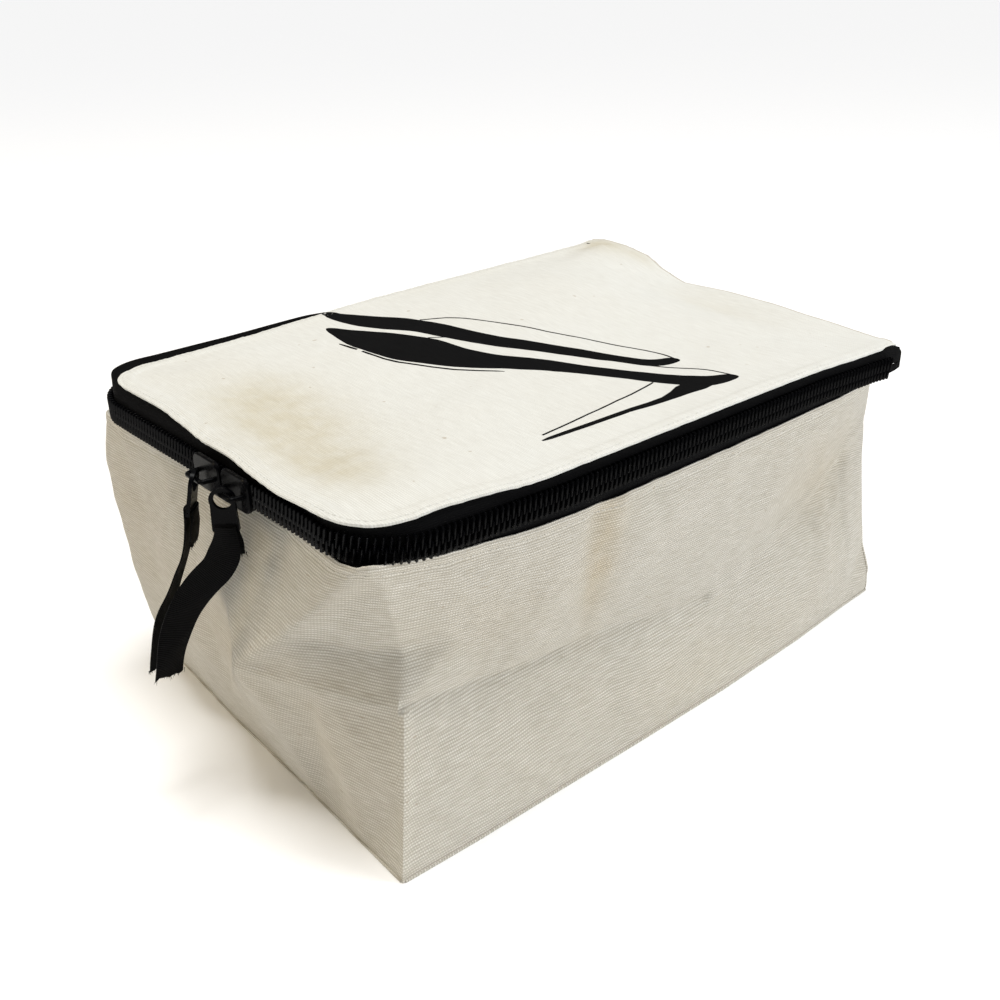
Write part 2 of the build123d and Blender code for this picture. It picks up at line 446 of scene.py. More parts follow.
def makeWearGroup():
    # light rubbing and dust on small hard parts, from place alone
    group, given, result = newGroup(
        "rubbing",
        [("Vector", "NodeSocketVector", None), ("Scratch Size", "NodeSocketFloat", 900.0),
         ("Amount", "NodeSocketFloat", 0.3)],
        [("Mask", "NodeSocketFloat"), ("Grain", "NodeSocketFloat")])
    broad = mottle(group, given["Vector"], 320.0, 3.0)
    fine = mottle(group, given["Vector"], given["Scratch Size"], 4.0)
    both = calc(group, "MULTIPLY", broad, fine)
    group.links.new(calc(group, "MULTIPLY", ramp(group, both, 0.26, 0.42), given["Amount"]), result["Mask"])
    group.links.new(fine, result["Grain"])
    return group


weaveGroup = makeWeaveGroup()
soilGroup = makeSoilGroup()
wearGroup = makeWearGroup()


def newMaterial(name):
    material = bpy.data.materials.new(name)
    material.use_nodes = True
    tree = material.node_tree
    shader = tree.nodes["Principled BSDF"]
    return material, tree, shader


def placeGroup(tree, group, values):
    return addNode(tree, "ShaderNodeGroup", values, node_tree=group).outputs


def addBump(tree, shader, height, strength, depth):
    # depth in millimetres
    node = addNode(tree, "ShaderNodeBump", {"Strength": strength, "Distance": depth * mm, "Height": height})
    tree.links.new(node.outputs[0], shader.inputs["Normal"])


def clothMaterial(name, facts):
    # any of the woven materials, on its piece's own cloth coordinates
    material, tree, shader = newMaterial(name)
    cloth = addNode(tree, "ShaderNodeUVMap", uv_map="cloth").outputs[0]
    place = addNode(tree, "ShaderNodeTexCoord").outputs["Object"]
    weave = placeGroup(tree, weaveGroup, {"Vector": cloth, "Across Pitch": facts["pitch"][0],
                                          "Along Pitch": facts["pitch"][1], "Unevenness": facts["uneven"],
                                          "Slub": facts["slub"]})
    soil = placeGroup(tree, soilGroup, {"Vector": place, "Patch Size": facts["patch"],
                                        "Fleck Share": facts["fleck"]})
    colour = mixColour(tree, ramp(tree, weave["Yarn Tone"], 0.1, 1.1), facts["dark"], facts["light"])
    colour = mixColour(tree, calc(tree, "MULTIPLY", weave["Gap"], facts["gapShade"]), colour, facts["gap"])
    patches = calc(tree, "MULTIPLY", soil["Patches"], facts["soil"])
    colour = mixColour(tree, patches, colour, facts["soilColour"], "MULTIPLY")
    # brown stain, with painted shade in the hollows and dents it marks, from each point's own value
    if facts.get("tan"):
        mark = addNode(tree, "ShaderNodeAttribute", attribute_name="tan").outputs["Fac"]
        # the brown stain and painted shade sit unevenly, and more between the yarns than on them
        uneven = calc(tree, "MULTIPLY_ADD", mottle(tree, place, 110.0, 5.0), 1.1, 0.3)
        mark = calc(tree, "MULTIPLY", mark, uneven)
        mark = calc(tree, "MULTIPLY", mark, calc(tree, "MULTIPLY_ADD", weave["Gap"], 0.5, 0.75), clamp=True)
        mark = calc(tree, "MULTIPLY", mark, facts["tan"])
        colour = mixColour(tree, mark, colour, facts["tanColour"], "MULTIPLY")
    flecks = calc(tree, "MULTIPLY", soil["Flecks"], facts["fleckDepth"])
    colour = mixColour(tree, flecks, colour, facts["fleckColour"])
    tree.links.new(colour, shader.inputs["Base Color"])
    rough = calc(tree, "MULTIPLY_ADD", soil["Fuzz"], 0.12, facts["rough"] - 0.06)
    tree.links.new(rough, shader.inputs["Roughness"])
    height = calc(tree, "MULTIPLY_ADD", soil["Fuzz"], 0.22, weave["Height"])
    addBump(tree, shader, height, facts["bump"], facts["depth"])
    shader.inputs["Specular IOR Level"].default_value = facts["specular"]
    shader.inputs["Sheen Weight"].default_value = facts["sheen"]
    shader.inputs["Sheen Roughness"].default_value = 0.5
    return material


def hardMaterial(name, facts):
    material, tree, shader = newMaterial(name)
    place = addNode(tree, "ShaderNodeTexCoord").outputs["Object"]
    wear = placeGroup(tree, wearGroup, {"Vector": place, "Scratch Size": facts["scratch"],
                                        "Amount": facts["wear"]})
    colour = mixColour(tree, wear["Mask"], facts["colour"], facts["worn"])
    tree.links.new(colour, shader.inputs["Base Color"])
    rough = calc(tree, "MULTIPLY_ADD", wear["Grain"], 0.22, facts["rough"] - 0.11)
    tree.links.new(rough, shader.inputs["Roughness"])
    addBump(tree, shader, wear["Grain"], 0.25, 0.05)
    shader.inputs["Specular IOR Level"].default_value = facts["specular"]
    return material


cream = {
    "pitch": (1.25, 1.25), "uneven": 0.2, "slub": 0.3, "patch": 14.0, "fleck": 0.35,
    "dark": (0.61, 0.58, 0.505, 1), "light": (0.88, 0.86, 0.80, 1), "gap": (0.32, 0.285, 0.215, 1),
    # the brown mark's strength and colour: part stain, part painted shade in hollows
    "gapShade": 0.74, "soil": 0.16, "soilColour": (0.88, 0.80, 0.66, 1), "tan": 0.75,
    "tanColour": (0.87, 0.77, 0.60, 1), "fleckDepth": 0.55, "fleckColour": (0.40, 0.33, 0.24, 1),
    "rough": 0.9, "bump": 0.75, "depth": 0.28, "specular": 0.2, "sheen": 0.12,
}
offWhite = dict(cream, pitch=(0.95, 0.9), uneven=0.2, slub=0.25, dark=(0.71, 0.71, 0.67, 1),
                light=(0.84, 0.85, 0.815, 1), gap=(0.50, 0.485, 0.43, 1), gapShade=0.42, soil=0.08,
                fleck=0.15, bump=0.6, depth=0.18, tan=1.0, tanColour=(0.82, 0.765, 0.645, 1))
black = dict(cream, pitch=(0.9, 0.55), uneven=0.15, slub=0.1, dark=(0.0016, 0.0016, 0.002, 1),
             light=(0.0045, 0.0045, 0.005, 1), gap=(0.001, 0.001, 0.001, 1), gapShade=0.7, soil=0.0,
             tan=0.0, fleck=0.0, fleckDepth=0.0, rough=0.85, bump=0.8, depth=0.2, specular=0.07, sheen=0.0)
hardBlack = {"colour": (0.0015, 0.0015, 0.002, 1), "worn": (0.004, 0.004, 0.0045, 1)}
finishes = {
    "canvas": clothMaterial("ribbedCreamCanvas", cream),
    "lidCanvas": clothMaterial("offWhiteLidCanvas", offWhite),
    "zipTape": clothMaterial("blackZipTape", black),
    "ribbon": clothMaterial("blackGrosgrain", dict(black, pitch=(0.85, 0.4), rough=0.7, bump=1.0, depth=0.3)),
    "binding": clothMaterial("creamTwillBinding", dict(cream, pitch=(0.8, 0.8), tan=0.0, bump=0.5)),
    "thread": clothMaterial("creamThread", dict(cream, pitch=(0.5, 0.4), tan=0.0, depth=0.1, gapShade=0.3)),
    "lidThread": clothMaterial("offWhiteThread", dict(offWhite, pitch=(0.5, 0.4), tan=0.0, depth=0.1)),
    "print": clothMaterial("blackInk", dict(black, pitch=(0.95, 0.9), depth=0.12, bump=0.5, rough=0.75,
                                            light=(0.006, 0.006, 0.006, 1))),
    "coil": hardMaterial("blackNylonCoil", dict(hardBlack, scratch=1500.0, wear=0.35, rough=0.27,
                                                specular=0.13)),
    "metal": hardMaterial("blackEnamel", dict(hardBlack, scratch=1100.0, wear=0.45, rough=0.3,
                                              specular=0.06)),
}
print("materials made")

addRibbon("left")
addRibbon("right")
print("ribbons made")

for node in ("left_slider", "right_slider", "left_pull_tab", "right_pull_tab"):
    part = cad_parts[node]
    if not part.material_slots:
        part.data.materials.append(finishes["metal"])
    for holder in part.material_slots:
        holder.material = finishes["metal"]


box = {
    "halfWidth": 108.0, "halfLength": 165.0, "lidTop": 155.0, "split": 144.0, "wallTop": 133.0,
    "backTop": 150.0, "canvas": 1.2, "rimRadius": 28.0, "wallRadius": 8.0,
}
cornerA, cornerB, rimEnd = 330.0, 546.0, 876.0

# rows of (place along the rim, outward, upward): how far each edge strays from its plain line
lidEdgeStray = [
    (0, 0, 11), (15, 0, 9.6), (65, 0, 8.4), (115, 0, 7.1), (165, 0, 5.8), (190, -.4, 4.9),
    (215, -2.6, 3.8), (265, -4.8, 2), (300, -5.8, 1.2), (322, -6, 1.4), (332, -5, 1.6), (345, -4, 1.7),
    (358, -3, 1.7), (378, -2.6, 2.2), (398, -2.7, 2.2), (418, -1.4, 1.2), (438, 0, 0), (458, 0, 0),
    (478, 1.9, -.9), (498, 3.2, -1.2), (518, 2.2, -1), (546, 2.6, -2.6), (576, .9, -1.5), (591, 1.9, -2),
    (621, 5, -3.6), (771, 4.9, -3.6), (801, 4.9, -4), (831, 5.5, -5), (861, 4.6, -6.6), (876, 0.8, -9.5)]
bandTopStray = [
    (0, 0, 11), (15, 0, 9.6), (65, 0, 8.4), (115, 0, 7.1), (165, 0, 5.8), (190, 0, 5.6), (215, 0, 5.2),
    (265, 0, 3.6), (300, 0, 3), (330, 0, 3.4), (345, -1, 2.9), (358, -2.2, 1.9), (378, -2.6, 2.2)]
# past the lid's edge at the back right corner, where the band stands proud of it
cornerBandStray = [(846, 5.6, -5.3), (861, 5.8, -5.6), (876, 4.6, -7.4)]
chainStray = [
    (0, 0, 10), (15, 0, 9.2), (65, 0, 8), (165, 0, 5.6), (265, 0, 2.3), (300, 0, 1.4), (325, 0, 0.9),
    (355, 0, 0), (512, 0, 0), (530, .8, -.8), (546, 1.5, -1.6), (576, 2.5, -2.4), (600, 3.6, -3),
    (640, 4.5, -3.8), (800, 4.5, -4), (846, 5.3, -5.5), (861, 6.4, -6), (876, 7.2, -6.6)]
wallTopStray = [
    (0, 0, 11), (15, 0, 9.6), (65, 0, 8.4), (115, 0, 7.1), (165, 0, 5.8), (215, 0, 4.2), (265, 0, 3),
    (300, 0, 3.2), (330, -2, 5), (338, -3, 4), (358, -3.6, 2), (378, -4.2, 1.8), (398, -5.8, 1.9),
    (418, -7.6, 2.4), (438, -8.8, 2.6), (458, -9.1, 2.7), (478, -9.4, 2.8), (498, -5.4, 2.1),
    (518, -3, 2), (533, -1, 2.5), (546, -3, 5.5), (551, -2.8, 5), (576, -.5, 1), (591, .4, -.5),
    (621, 1.9, -3), (651, 2.8, -4), (711, 2.9, -4.1), (741, 2.8, -4), (771, 2.4, -3.7), (801, 2, -3.5),
    (831, 1.6, -3.2), (861, -3.5, -4.6), (876, -6.5, -3.5)]
backEdgeStray = [(-108, 11), (-95, 13.6), (-78, 12.5), (-60, 9.4), (-45, 2.2), (-30, -2.3), (0, -1.7),
                 (30, -2.7), (60, -5.1), (100, -8.2), (108, -8)]


def ringPoint(p, radius, inset=0.0):
    # a point on the rim seen from above, and the way out there. p runs from the back left corner
    # round the front to the back right corner
    w, l = box["halfWidth"], box["halfLength"]
    r = max(radius, 0.01)
    for corner, centre, start in ((cornerA, (-w + r, -l + r), math.pi),
                                  (cornerB, (w - r, -l + r), 1.5 * math.pi)):
        if abs(p - corner) < r:
            angle = start + (p - corner + r) / (2 * r) * math.pi / 2
            out = Vector((math.cos(angle), math.sin(angle), 0))
            return Vector((*centre, 0)) + out * (r - inset), out
    if p < cornerA:
        out = Vector((-1, 0, 0))
        return Vector((-w + inset, l - p, 0)), out
    if p < cornerB:
        out = Vector((0, -1, 0))
        return Vector((p - cornerA - w, -l + inset, 0)), out
    out = Vector((1, 0, 0))
    return Vector((w - inset, p - cornerB - l, 0)), out


def rimPoint(p, stray, radius, height, inset=0.0, drop=0.0):
    spot, out = ringPoint(p, radius, inset)
    outward, upward = table(stray, p)
    return spot + out * outward + Vector((0, 0, height + upward - drop)), out


def wallTopPoint(p, inset=0.0, drop=0.0):
    spot, out = rimPoint(p, wallTopStray, box["wallRadius"], box["wallTop"], inset, drop)
    spot.y -= 8 * ease(850, 876, p)
    return spot, out


def chainPoint(p, inset=0.0, lift=0.0):
    return rimPoint(p, chainStray, box["rimRadius"], box["split"], inset, -lift)


def lidEdgePoint(p, inset=0.0, drop=0.0):
    return rimPoint(p, lidEdgeStray, box["rimRadius"], box["lidTop"], inset, drop)


wall = {
    "step": 2.0,
    "rise": 2.2,
    "smoothing": 2,
    # close rows of points where the cloth turns over at the hem, with the stitches at the third
    "hemLevels": [125.5, 127.2, 128.4, 129.6, 131, 132.3, 133],
    "stitchLevel": 128.4,
    # places where the cloth is pushed about: along the rim, up the cloth, then where it is
    "folds": [
        (0, 68, -104, 160, 70), (60, 66, -106.5, 105, 67), (130, 60, -103.5, 35, 62),
        (200, 62, -106, -35, 63), (270, 66, -110.5, -110, 67), (100, 100, -109, 65, 106),
        (230, 100, -109.5, -65, 103), (330, 108, -112.5, -163.5, 110), (330, 90, -112.5, -163.2, 92),
        (330, 72, -112, -162, 72), (330, 58, -109, -161, 58), (330, 38, -106.5, -158.8, 38),
        (330, 18, -103.5, -155.6, 18), (330, 7, -98.5, -152.3, 6.5), (367, 88, -73, -162.6, 90),
        (410, 86, -30, -165, 90), (451, 86, 11, -169.5, 90), (392, 50, -46, -165, 50),
        (467, 66, 29, -179, 70), (420, 30, -16, -160.5, 29), (494, 90, 55, -169, 92),
        (512, 88, 70, -157, 90), (528, 88, 83.5, -150, 90), (546, 90, 93.5, -142, 91.5),
        (568, 88, 99, -121, 90), (546, 68, 98.5, -146.5, 70.5), (546, 34, 104.5, -153.5, 34),
        (500, 68, 62, -164, 71), (612, 61, 97.5, -97, 62), (667, 57, 99.5, -41, 58),
        (736, 48, 102.5, 32, 48), (800, 68, 99.5, 104, 70), (858, 88, 100, 150, 90),
        (640, 95, 106, -70, 92), (710, 92, 107, 5, 90), (780, 98, 106, 75, 95), (700, 25, 110, -10, 24),
        (820, 30, 109, 118, 30), (600, 28, 108, -108, 28), (876, 16, 110.5, 165, 16),
        (876, 30, 104.5, 165.5, 30), (876, 55, 101.5, 165, 55), (876, 80, 98.5, 164, 80),
        (876, 104, 97.5, 161.5, 102),
    ],
    # straight folds between those places: from, to
    "creases": [(546, 133, 494, 90), (494, 90, 467, 66), (467, 66, 500, 68), (500, 68, 546, 68),
                (546, 68, 546, 34), (546, 34, 546, 0), (546, 68, 612, 61), (612, 61, 667, 57),
                (667, 57, 736, 48), (736, 48, 800, 68), (800, 68, 858, 88), (330, 133, 330, 108),
                (330, 108, 330, 90), (330, 90, 330, 72), (330, 72, 330, 58), (330, 58, 330, 38),
                (330, 38, 330, 18), (330, 18, 330, 7), (330, 7, 330, 0)],
    # narrow folds along lines on the cloth: from, to, half width, height at each end
    "pleats": [
        (546, 131, 494, 90, 3.2, 0.9, 1.0), (494, 90, 467, 66, 3.0, 1.0, 1.5),
        (467, 66, 500, 67, 2.8, 1.4, 1.1), (500, 67, 546, 68, 2.6, 1.1, 1.5),
        (546, 68, 546, 2, 2.6, 1.5, 1.2), (546, 68, 612, 61, 2.6, -1.7, -1.5),
        (612, 61, 667, 57, 2.8, -1.5, -1.2), (667, 57, 736, 48, 3.2, -1.2, -0.8),
        (736, 48, 800, 68, 3.2, 1.2, 1.4), (800, 68, 866, 104, 3.0, 1.4, 0.9),
        (467, 66, 448, 24, 3.4, 1.3, 0.5), (690, 128, 700, 70, 5.5, -1.2, 0.0),
        (655, 128, 650, 88, 4.5, -1.6, 0.0), (668, 128, 668, 84, 4.0, 1.1, 0.0),
        (740, 126, 736, 84, 5.0, 0.9, 0.0), (500, 34, 536, 12, 4.0, 0.4, 0.3),
        (352, 128, 372, 86, 4.0, 0.9, 0.2), (396, 122, 372, 62, 4.5, 1.0, 0.0),
        (640, 36, 690, 20, 4.0, 0.7, 0.3), (820, 54, 852, 40, 3.4, 0.9, -0.6),
        (846, 90, 852, 30, 3.4, -1.2, -0.6), (578, 124, 585, 92, 5.0, 0.8, 0.0),
    ],
    # soft dents: along, up, half sizes, depth
    "dents": [(661, 98, 15, 30, -2.6), (690, 100, 14, 26, 1.2), (760, 105, 18, 22, -1.6),
              (820, 100, 14, 24, 1.2), (590, 112, 12, 14, 1.6), (400, 70, 20, 26, 1.2),
              (360, 100, 12, 22, -1.4), (430, 110, 12, 16, 1.3), (480, 30, 22, 16, -1.5),
              (840, 60, 10, 20, -2.0), (640, 30, 26, 12, 1.4), (740, 20, 22, 10, -1.0)],
    # brown stains, and painted shade in the dents under the zip: along, up, half sizes, strength
    "tan": [(661, 105, 9, 34, 0.9), (420, 60, 60, 26, 0.25), (820, 84, 34, 30, 0.45),
            (590, 90, 40, 20, 0.2), (345, 100, 16, 40, 0.25), (500, 40, 40, 30, 0.15),
            (760, 15, 60, 16, 0.2)],
}
# where the wall meets the floor: along the rim, then x and y
baseLine = [(0, -107, 163), (110, -105.5, 55), (220, -103, -50), (330, -95.3, -150.7),
            (395, -32.7, -155.0), (460, 30.7, -157.0), (501, 71.5, -158.8), (546, 109.9, -160.5),
            (585, 111.6, -122.5), (630, 112.4, -77.3), (680, 113.5, -27.5), (740, 114.2, 33),
            (805, 112.8, 97), (850, 110.2, 142), (876, 109.3, 168.1)]


def basePoint(p):
    for low, high in zip(baseLine, baseLine[1:]):
        if p <= high[0]:
            share = (p - low[0]) / (high[0] - low[0])
            return Vector((low[1] + (high[1] - low[1]) * share, low[2] + (high[2] - low[2]) * share, 0.7))
    return Vector((baseLine[-1][1], baseLine[-1][2], 0.7))


def facetMap(points, creases):
    # flat facets over the cloth between the given points. Each is (u, v, x, y, z)
    flat = [Vector((p[0], p[1])) for p in points]
    index = {(p[0], p[1]): number for number, p in enumerate(points)}
    edges = [(index[(a, b)], index[(c, d)]) for a, b, c, d in creases]
    spots, lines, faces, origins, _, _ = delaunay_2d_cdt(flat, edges, [], 0, 1e-5)
    places = [Vector(points[origin[0]][2:]) if origin else None for origin in origins]
    return [([spots[i] for i in face], [places[i] for i in face]) for face in faces
            if all(places[i] is not None for i in face)]


def facetValue(facets, u, v):
    best, bestScore = None, -1e9
    for (a, b, c), places in facets:
        area = (b.x - a.x) * (c.y - a.y) - (c.x - a.x) * (b.y - a.y)
        if abs(area) < 1e-9:
            continue
        s = ((u - a.x) * (c.y - a.y) - (c.x - a.x) * (v - a.y)) / area
        t = ((b.x - a.x) * (v - a.y) - (u - a.x) * (b.y - a.y)) / area
        score = min(s, t, 1 - s - t)
        if score > bestScore:
            best, bestScore = places[0] * (1 - s - t) + places[1] * s + places[2] * t, score
            if score > -1e-6:
                return best
    return best


def bumps(rows, u, v):
    return sum(size * math.exp(-((u - a) / su) ** 2 - ((v - b) / sv) ** 2) for a, b, su, sv, size in rows)


def pleatPush(p, level):
    # how far the narrow folds lift the cloth here
    push = 0.0
    for a, b, c, d, width, first, last in wall["pleats"]:
        span = (c - a) ** 2 + (d - b) ** 2
        share = ((p - a) * (c - a) + (level - b) * (d - b)) / span
        held = min(max(share, 0), 1)
        away = (p - a - held * (c - a)) ** 2 + (level - b - held * (d - b)) ** 2
        if away < (3 * width) ** 2:
            lift = (first + (last - first) * held) * math.exp(-away / width ** 2)
            if abs(lift) > abs(push):
                push = lift
    return push


def makeWallGrid():
    top = box["wallTop"]
    points = []
    for number in range(0, 74):
        p = number * 12.0
        for corner in (cornerA, cornerB):
            if abs(p - corner) < 7:
                p = corner
        points.append((p, top, *wallTopPoint(p)[0]))
        points.append((p, 0.0, *basePoint(p)))
    for p in (cornerA - 6, cornerA + 6, cornerB - 6, cornerB + 6):
        points.append((p, top, *wallTopPoint(p)[0]))
    seen, unique = set(), []
    for point in points + wall["folds"]:
        if (point[0], point[1]) not in seen:
            seen.add((point[0], point[1]))
            unique.append(point)
    facets = facetMap(unique, wall["creases"])
    columns = int(rimEnd / wall["step"]) + 1
    levels = [0, 1.2, 3, 6] + [6 + wall["rise"] * k for k in range(1, 54)] + wall["hemLevels"]
    grid = [[facetValue(facets, c * wall["step"], level) for c in range(columns)] for level in levels]
    for _ in range(wall["smoothing"]):
        fresh = [row[:] for row in grid]
        for r in range(1, len(levels) - 1):
            weight = 0.42 if 6 <= levels[r] <= 124 else 0.15
            for c in range(1, columns - 1):
                mean = (grid[r - 1][c] + grid[r + 1][c] + grid[r][c - 1] + grid[r][c + 1]) / 4
                fresh[r][c] = grid[r][c].lerp(mean, weight)
        grid = fresh
    # soft dents, wrinkles and the puckered hem, along the surface's own normal
    fresh = [row[:] for row in grid]
    for r, level in enumerate(levels):
        for c in range(columns):
            p = c * wall["step"]
            side = grid[r][min(c + 1, columns - 1)] - grid[r][max(c - 1, 0)]
            rise = grid[min(r + 1, len(levels) - 1)][c] - grid[max(r - 1, 0)][c]
            normal = side.cross(rise).normalized()
            inner = ease(0, 10, level)
            upper = 1 - ease(112, 131, level)
            push = bumps(wall["dents"], p, level) * inner * upper
            wrinkle = 1.5 * fractal(p, level * 1.3, 4, 62) + 0.45 * fractal(p, level, 9, 19)
            push += wrinkle * inner * (0.25 + 0.75 * upper)
            push += pleatPush(p, level) * ease(0, 5, level)
            pucker = ease(108, 126, level)
            push += pucker * 0.28 * noise.noise(Vector((p / 5.5, level / 30, 2.0)))
            if level >= wall["hemLevels"][0]:
                seam = wall["stitchLevel"]
                push += 0.35 * ease(seam, 130.2, level) - 0.30 * math.exp(-((level - seam) / 0.9) ** 2)
                push -= 0.45 * ease(132, 133, level)
            if level < 4:
                push -= 0.5 * (1 - ease(0, 4, level))
            fresh[r][c] = grid[r][c] + normal * push
    return levels, columns, fresh


wallLevels, wallColumns, wallGrid = makeWallGrid()


def wallAt(p, level, inset=0.0):
    c = min(max(p / wall["step"], 0), wallColumns - 1.001)
    r = 0
    while r < len(wallLevels) - 2 and wallLevels[r + 1] < level:
        r += 1
    share = (level - wallLevels[r]) / (wallLevels[r + 1] - wallLevels[r])
    c0, part = int(c), c - int(c)
    low = wallGrid[r][c0].lerp(wallGrid[r][c0 + 1], part)
    high = wallGrid[r + 1][c0].lerp(wallGrid[r + 1][c0 + 1], part)
    side = wallGrid[r][c0 + 1] - wallGrid[r][c0]
    normal = side.cross(wallGrid[r + 1][c0] - wallGrid[r][c0]).normalized()
    return low.lerp(high, share) - normal * inset, normal


def paintStainAndShade(piece, rows):
    # a soft brown mark, partly toning and partly painted shade in hollows, kept as a value on each point
    mesh = piece.data
    mark = mesh.attributes.new("tan", "FLOAT", "POINT")
    uvs = mesh.uv_layers["cloth"].data
    for loop in mesh.loops:
        u, v = uvs[loop.index].uv / mm
        mark.data[loop.vertex_index].value = min(bumps(rows, u, v), 1.0)


def dress(piece, finish, body, nodes):
    # gives a piece its finish and says what it is part of
    piece.data.materials.clear()
    piece.data.materials.append(finishes[finish])
    if body:
        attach(piece, body)
    if nodes:
        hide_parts(*nodes)


def bendWithLid(piece):
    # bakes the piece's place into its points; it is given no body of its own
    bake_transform(piece)


gussetUvs = [[(c * wall["step"], level) for c in range(wallColumns)] for level in wallLevels]
gusset = gridPiece("sideGusset", wallGrid, gussetUvs, fromMiddle, box["canvas"])
paintStainAndShade(gusset, wall["tan"])
dress(gusset, "canvas", "bag", ["side_gusset"])
print("walls made")


lid = {
    "hem": 7.0,
    "stitch": 2.4,
    "back": 162.6,
    # rings of points at these depths from the edge, close together at the hem's fold and stitches
    "ringDepths": (0.5, 1.1, 1.8, 2.4, 3.0, 4.2, 5.6, 6.4, 7.0, 7.6, 9.0),
    # across, along, half sizes, height
    "swells": [(5, -128, 46, 22, -2.6), (60, -60, 50, 60, 1.4), (-40, -40, 50, 70, -0.8),
               (40, 60, 40, 60, -1.2), (-50, 90, 40, 50, 1.2), (10, 140, 40, 20, -2.2),
               (-80, 140, 14, 26, 1.6), (-91, 155, 7, 4, -2.4), (-84, 150, 5, 5, 1.2),
               (-100, 148, 5, 8, -1.2), (80, -130, 14, 20, 1.2), (-70, -130, 20, 20, 1.0)],
    # brown stains, and painted shade in the front hollow and the puckered back corner: across, along, half
    # sizes, strength
    "tan": [(5, -132, 50, 26, 0.95), (48, -140, 26, 11, 0.6), (-30, -120, 30, 20, 0.4),
            (10, 138, 30, 12, 0.3), (-88, 154, 17, 11, 1.0), (-62, 158, 12, 6, 0.5),
            (60, -135, 20, 14, 0.35), (-104, 60, 8, 60, 0.15)],
}


def backEdgeUp(x):
    return table(backEdgeStray, x)[0]


def makeLidSamples():
    samples = []
    for number in range(0, 147):
        p = number * 6.0
        spot, out = ringPoint(p, box["rimRadius"])
        outward, rise = table(lidEdgeStray, p)
        samples.append((spot.x, spot.y, out.x * outward, out.y * outward, rise))
    for number in range(1, 36):
        x = -108 + number * 6.0
        samples.append((x, 165.0, 0, 0, backEdgeUp(x)))
    return samples


lidSamples = makeLidSamples()


def edgeDistance(x, y):
    w, l, r = box["halfWidth"], box["halfLength"], box["rimRadius"]
    if y < -l + r and abs(x) > w - r:
        return r - math.hypot(abs(x) - (w - r), y - (-l + r))
    return min(w - abs(x), y + l)


def lidPoint(x, y, lift=0.0):
    # the lid's upper face over the plain place (x, y)
    total, shift = 0.0, Vector((0, 0, 0))
    for sx, sy, dx, dy, dz in lidSamples:
        near = (x - sx) ** 2 + (y - sy) ** 2 + 4.0
        weight = near ** -1.7
        total += weight
        shift += Vector((dx, dy, dz)) * weight
    shift /= total
    distance = edgeDistance(x, y)
    inner = ease(0, 22, distance) * ease(0, 14, 163 - y)
    height = bumps(lid["swells"], x, y) * inner
    height += (1.3 * fractal(x, y, 17, 75) + 0.35 * fractal(x, y, 5, 22)) * inner
    hem = 0.45 * (1 - ease(lid["hem"] - 0.6, lid["hem"] + 0.6, distance))
    groove = -0.32 * math.exp(-((distance - lid["stitch"]) / 0.8) ** 2)
    roundOff = -0.5 * (1 - ease(0, 1.1, distance))
    pucker = 0.22 * noise.noise(Vector((x / 5, y / 5, 3))) * (1 - ease(5, 16, distance))
    return Vector((x, y, box["lidTop"] + height + hem + groove + roundOff + pucker + lift)) + shift


def spotsWithin(limits, spacing, inner):
    # a square grid of points over the limits, kept where inner(x, y) holds
    lowX, highX, lowY, highY = limits
    spots, x = [], lowX
    while x <= highX:
        y = lowY
        while y <= highY:
            if inner(x, y):
                spots.append((x, y))
            y += spacing
        x += spacing
    return spots


def cutSheet(name, outline, within, place, thickness):
    # triangles over a closed flat outline and the points within it, then each point put in its place
    points = [Vector(spot) for spot in outline + within]
    edges = [(i, (i + 1) % len(outline)) for i in range(len(outline))]
    spots, _, faces, _, _, _ = delaunay_2d_cdt(points, edges, [], 1, 1e-4)
    piece = addMesh(name, [place(spot) for spot in spots], [tuple(face) for face in faces],
                    [(spot.x, spot.y) for spot in spots])
    pointOut(piece, upward)
    finishMesh(piece, thickness)
    return piece


def ringSpots(start, end, depth=0.0):
    # flat points every 3 mm along the rim
    spots, p = [], start
    while p <= end:
        spots.append(tuple(ringPoint(p, box["rimRadius"], depth)[0].xy))
        p += 3.0
    return spots


def addLid():
    outline = ringSpots(2.4, rimEnd - 2.4 + 0.01)
    outline += [(108 - 3.0 * k, lid["back"]) for k in range(1, 72)]
    within = []
    for depth in lid["ringDepths"]:
        within += ringSpots(3.0 + depth, rimEnd - 3.0 - depth, depth)
    within += spotsWithin((-102.0, 102.0, -162.0, 162.0), 3.0,
                          lambda x, y: edgeDistance(x, y) > 10.5 and y < lid["back"] - 1.5)
    piece = cutSheet("lidPanel", outline, within, lambda spot: lidPoint(spot.x, spot.y), box["canvas"])
    paintStainAndShade(piece, lid["tan"])
    dress(piece, "lidCanvas", None, ["lid_panel"])
    bendWithLid(piece)


addLid()
print("lid made")


zipper = {
    "pitch": 2.65, "reach": (-1.0, 5.3), "thick": 1.16, "deep": 1.5, "slant": 9.0, "proud": 0.38,
    "firstTooth": 15.4, "toothLength": 4.46, "tape": 0.8,
}
# how the strips of the zip and the lid's hem end at the back corners
backCorner = {
    "straight": 6.0,          # from each end of the rim, where a strip starts to turn
    "radius": 5.0, "quarterTurn": 7.85,
    "pivot": (103, 159), "seam": 162.9,
    "roundFrom": 859, "roundOver": 17, "roundAbout": 139.5, "least": 0.4,
}


